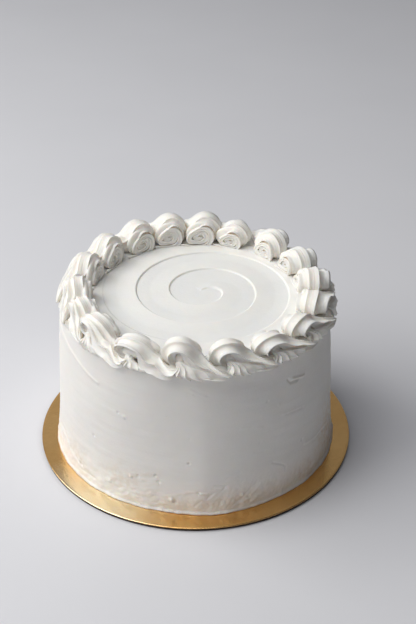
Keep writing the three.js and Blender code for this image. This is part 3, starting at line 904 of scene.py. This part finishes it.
def section_points(width, thickness, fan, split):
    """Points round the strand at each row: hollow channels between crisp ridges."""
    stages = range(len(RIDGE_ANGLES))
    count = len(CHANNEL_SAG)
    corners = []
    for ridge in range(count):
        turn = np.radians(np.interp(fan, stages, [angles[ridge] for angles in RIDGE_ANGLES]))
        corners.append(np.stack([width * np.cos(turn), thickness * np.sin(turn)], -1))
    points = []
    draw = make_draw(5)
    for k, (sag, skew) in enumerate(zip(CHANNEL_SAG, CHANNEL_SKEW)):
        chord = corners[(k + 1) % count] - corners[k]
        inward = np.stack([-chord[:, 1], chord[:, 0]], -1)
        for step in range(POINTS_PER_RIDGE):
            t = step / POINTS_PER_RIDGE
            hollow = sag * math.sin(math.pi * t ** skew) ** CHANNEL_WALL
            if split and k in SPLIT_CHANNELS:
                hollow = sag * abs(math.sin(2 * math.pi * t)) ** CHANNEL_WALL
                hollow -= SPLIT_RIDGE * math.sin(math.pi * t)
            line = STRIATION * draw() if step else 0
            length = np.linalg.norm(chord, axis=1)[:, None]
            points.append(corners[k] + chord * t + inward * (hollow + line / np.maximum(length, 2)))
    return np.stack(points, 1)


def strand_stretch(swirl, rows, along):
    """Closed body of the ribbed strand over some of its rows."""
    u, z, w, thickness, width, fan, normal_u, normal_z = rows.T
    size = np.hypot(normal_u, normal_z)
    section = section_points(width, thickness, fan, swirl["split"])
    length = np.broadcast_to(along[:, None, None] / STRAND_DRAWN_OUT, (*section.shape[:2], 1))
    field = np.concatenate([length, section], -1)
    uneven = 1
    for (share, wavelength), seed in zip(STRAND_UNEVEN, (swirl["seed"], swirl["seed"] + 50)):
        uneven = uneven + share * ripple(field, wavelength, seed)
    across = section[..., 0] * uneven
    out = section[..., 1] * uneven
    rings = place_on_border(swirl, u[:, None] + (normal_u / size)[:, None] * out, w[:, None] + across,
                            z[:, None] + (normal_z / size)[:, None] * out)
    start = place_on_border(swirl, u[0], w[0], z[0])
    end = place_on_border(swirl, u[-1], w[-1], z[-1])
    return skin_rings(rings[:, ::-1], start, end)


def core(swirl):
    """Closed body through elliptical rows across the border, which fills the eye behind the coil."""
    rows = [[w, half_u + half_z, u, z, half_u + swirl["opening"], half_z] for w, u, z, half_u, half_z in CORE]
    w, _, u, z, half_u, half_z = even_rows(rows, [1, 0.5], CORE_STEP, CORE_BLUR)[0].T
    angles = np.arange(CORE_POINTS) * (2 * math.pi / CORE_POINTS)
    along = np.cos(angles) * half_u[:, None]
    up = np.sin(angles) * half_z[:, None]
    rings = place_on_border(swirl, u[:, None] + along, w[:, None], z[:, None] + up)
    start = place_on_border(swirl, u[0], w[0], z[0])
    end = place_on_border(swirl, u[-1], w[-1], z[-1])
    return skin_rings(rings[:, ::-1], start, end)


def coil_path(swirl, part):
    """Middle line of the coiled edge in u and z, and half its breadth and depth there."""
    draw = make_draw(swirl["seed"] * 7)
    turn_in_all = COIL_TURN + COIL_TURN_VARIATION * draw()
    size = np.array(COIL_SIZE) * (1 + COIL_SIZE_VARIATION * draw()) + [COIL_OPENING * swirl["opening"], 0]
    centre = np.array(COIL_CENTRE) + [COIL_CENTRE_VARIATION[0] * draw(), COIL_CENTRE_VARIATION[1] * draw()]
    turn = np.radians(COIL_START - turn_in_all * part)
    uneven, wavelength = COIL_UNEVEN[0]
    left = mix(1, COIL_END, part ** COIL_SHRINK)
    left *= 1 + uneven * ripple(part[:, None] * turn_in_all, wavelength, swirl["seed"] + 3)
    reach = np.stack([size[0] * np.cos(turn), size[1] * np.sin(turn)], 1) * left[:, None]
    tailward = reach[:, 0] / size[0]
    sunk = reach[:, 1] * (1 - COIL_PINCH_AT_TAIL * tailward) - COIL_SINK_AT_TAIL * np.maximum(tailward, 0)
    path = centre + np.stack([reach[:, 0], sunk], 1)
    path[:, 0] += COIL_TAIL * smooth(1 - part / 0.1) + COIL_SHIFT * part
    spacing = np.linalg.norm(reach / left[:, None], axis=1) * (1 - COIL_END) / (turn_in_all / 360)
    half = COIL_FILL * spacing * smooth(part / 0.08 + 0.15) * mix(0.4, 1, smooth((1 - part) / 0.12))
    uneven, wavelength = COIL_UNEVEN[1]
    depth = COIL_DEPTH * (
        1 - uneven + uneven * ripple(part[:, None] * turn_in_all, wavelength, swirl["seed"] + 4))
    return path, half, depth * smooth(part / 0.06 + 0.2)


def coil(swirl):
    """Closed body of the strand's edge, wound flat into the eye."""
    part = np.linspace(0, 1, COIL_ROWS)
    path, half, depth = coil_path(swirl, part)
    way = np.gradient(path, axis=0)
    way /= np.linalg.norm(way, axis=1)[:, None]
    around = np.arange(COIL_POINTS) * (2 * math.pi / COIL_POINTS)
    out = np.sign(np.cos(around)) * np.abs(np.cos(around)) ** 0.6 * half[:, None]
    face = np.sign(np.sin(around)) * np.abs(np.sin(around)) ** 0.7
    face += COIL_NOTCH * np.exp(-(np.cos(around) / COIL_NOTCH_BREADTH) ** 2) * (np.sin(around) < 0)
    w = np.interp(part, *zip(*COIL_PLACE))
    u = path[:, 0][:, None] - way[:, 1][:, None] * out
    z = path[:, 1][:, None] + way[:, 0][:, None] * out
    rings = place_on_border(swirl, u, w[:, None] + face * depth[:, None], z)
    start = place_on_border(swirl, path[0, 0], w[0], path[0, 1])
    end = place_on_border(swirl, path[-1, 0], w[-1], path[-1, 1])
    return skin_rings(rings, start, end)


def pleated_start(swirl):
    """Closed body of the fanned pleats: hanging line above, scalloped rim below and a plain back inside."""
    stretch = swirl["gap"] / USUAL_GAP * (FAN_REACH_WHEN_HOOKED if swirl["hooked"] else 1)
    part = np.linspace(0, 1, FAN_COLUMNS)
    keys, hanging, ends = zip(*FAN)
    lines = []
    for places in (hanging, ends):
        columns = [np.interp(part, keys, axis) for axis in zip(*places)]
        line = blur_rows(np.stack(columns, 1), FAN_BLUR)
        line[:, 0] *= np.where(line[:, 0] > 0, stretch, 1)
        lines.append(line)
    hinge, rim = lines
    phase = FAN_PLEATS * part ** FAN_CROWDING
    phase = (phase + FAN_UNEVEN * ripple(phase[:, None], 2.3, swirl["seed"] + 60)) % 1
    ridge = 1 - np.abs(np.sin(math.pi * phase ** FAN_SKEW)) ** 0.8
    ridge *= 1 - 0.5 * smooth((part - 0.4) / 0.3) - 0.5 * smooth((part - 0.8) / 0.2)
    rim[:, 2] -= FAN_SCALLOP * ridge
    back = FAN_BACK * (1 - part) ** 0.6 + 0.4
    rings = []
    for t in np.linspace(0, 1, FAN_ROWS):
        line = mix(hinge, rim, t)
        line[:, 1] += FAN_BULGE * 4 * t * (1 - t) * (1 - part) + mix(*FAN_DEPTH, t) * (ridge - 0.6)
        line[:, 1] -= FAN_TUCK * smooth((t - 0.75) / 0.25) * (1 - part)
        line[:, 0] += FAN_BEND * math.sin(2 * math.pi * t) * (1 - part)
        rings.append(line)
    for t in np.linspace(0.95, 0.05, FAN_BACK_ROWS):
        line = mix(hinge, rim, t)
        line[:, 1] -= back
        rings.append(line)
    grid = np.stack(rings, 1)
    field = grid + 0.25 * ripple(grid, 5, swirl["seed"] + 30)[..., None] * np.array([0, 1, 0])
    points = place_on_border(swirl, field[..., 0], field[..., 1], field[..., 2])
    return skin_rings(points, points[0].mean(axis=0), points[-1].mean(axis=0))


def join_solids(piece, other):
    """Unites other into piece and deletes other."""
    modifier = piece.modifiers.new("join", "BOOLEAN")
    modifier.operation = "UNION"
    modifier.solver = "MANIFOLD"
    modifier.object = other
    bpy.context.view_layer.update()
    joined = bpy.data.meshes.new_from_object(piece.evaluated_get(bpy.context.evaluated_depsgraph_get()))
    old = piece.data
    piece.modifiers.clear()
    piece.data = joined
    joined.name = piece.name
    bpy.data.meshes.remove(old)
    other_mesh = other.data
    bpy.data.objects.remove(other)
    bpy.data.meshes.remove(other_mesh)


def make_border(cream):
    """All swirls, each one body with its strand, core, coil and pleats joined."""
    for i, swirl in enumerate(make_swirls()):
        number = f"{i + 1:02d}"
        rows, head = strand_rows(swirl)
        along = np.arange(len(rows)) * STATION_STEP
        under = strand_stretch(swirl, rows[:head + 1], along[:head + 1])
        over = strand_stretch(swirl, rows[head:], along[head:])
        piece = make_piece(f"piped_cream_{number}", *over, cream)
        join_solids(piece, make_piece("start", *under, cream))
        join_solids(piece, make_piece("core", *core(swirl), cream))
        join_solids(piece, make_piece("coil", *coil(swirl), cream))
        join_solids(piece, make_piece("pleats", *pleated_start(swirl), cream))
        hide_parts(f"piped_swirl_{number}")
        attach(piece, BODY)


# Stage
def make_floor():
    corners = [(x * FLOOR_HALF, y * FLOOR_HALF, 0) for x, y in ((-1, -1), (1, -1), (1, 1), (-1, 1))]
    make_piece("floor", corners, [(0, 1, 2, 3)], floor_material())


def add_area(name, place, size, power, color):
    data = bpy.data.lights.new(name, "AREA")
    data.shape = "RECTANGLE"
    data.size, data.size_y = size
    data.energy = power
    data.color = color
    light = bpy.data.objects.new(name, data)
    light.location = place
    light.rotation_euler = (Vector(LIGHT_TARGET) - light.location).to_track_quat("-Z", "Y").to_euler()
    bpy.context.scene.collection.objects.link(light)


def make_room():
    """World light that grows towards the back, more so on its left, and towards the front left."""
    world = bpy.data.worlds.new("studio")
    bpy.context.scene.world = world
    world.use_nodes = True
    nodes = world.node_tree.nodes
    links = world.node_tree.links
    background = nodes["Background"]
    background.inputs["Color"].default_value = (*ROOM_COLOR, 1)
    parts = nodes.new("ShaderNodeSeparateXYZ")
    links.new(nodes.new("ShaderNodeTexCoord").outputs["Generated"], parts.inputs[0])
    behind = math_node(nodes, links, "MAXIMUM", parts.outputs["Y"], 0.0)
    behind = math_node(nodes, links, "MULTIPLY", behind, behind)
    behind = math_node(nodes, links, "MULTIPLY", behind, ROOM_BEHIND)
    left = range_node(nodes, links, parts.outputs["X"], (ROOM_MIDDLE_BLEND, -ROOM_MIDDLE_BLEND),
                      ROOM_LEFT_SHARE)
    behind = math_node(nodes, links, "MULTIPLY", behind, left)
    front = [math_node(nodes, links, "MULTIPLY", parts.outputs[axis], share)
             for axis, share in zip("XY", ROOM_FRONT_WAY)]
    front = math_node(nodes, links, "MAXIMUM", math_node(nodes, links, "ADD", *front), 0.0)
    front = math_node(nodes, links, "MULTIPLY", front, front)
    front = math_node(nodes, links, "MULTIPLY", front, ROOM_FRONT)
    room = math_node(nodes, links, "ADD", math_node(nodes, links, "ADD", behind, front), ROOM_REST)
    links.new(room, background.inputs["Strength"])


def make_camera():
    data = bpy.data.cameras.new("camera")
    data.sensor_width = SENSOR
    data.lens = FOCAL_PIXELS / IMAGE_HEIGHT * SENSOR
    camera = bpy.data.objects.new("camera", data)
    camera.location = CAMERA_PLACE
    camera.rotation_euler = (math.radians(90 - CAMERA_PITCH_DOWN), 0, 0)
    bpy.context.scene.collection.objects.link(camera)
    bpy.context.scene.camera = camera


make_camera()
add_area("window", WINDOW_PLACE, WINDOW_SIZE, WINDOW_POWER, WINDOW_COLOR)
add_area("ceiling", CEILING_PLACE, CEILING_SIZE, CEILING_POWER, CEILING_COLOR)
make_room()
make_floor()
side_cream = cream_material("side_cream", SIDE_TONES, add_crumb_and_painted_light)
piped_cream = cream_material("piped_cream", PIPED_TONES, add_creases)
make_card(foil_material(), board_material())
make_side(side_cream)
make_top(side_cream)
make_border(piped_cream)
scene = bpy.context.scene
scene.view_settings.view_transform = "Standard"
scene.cycles.use_denoising = True
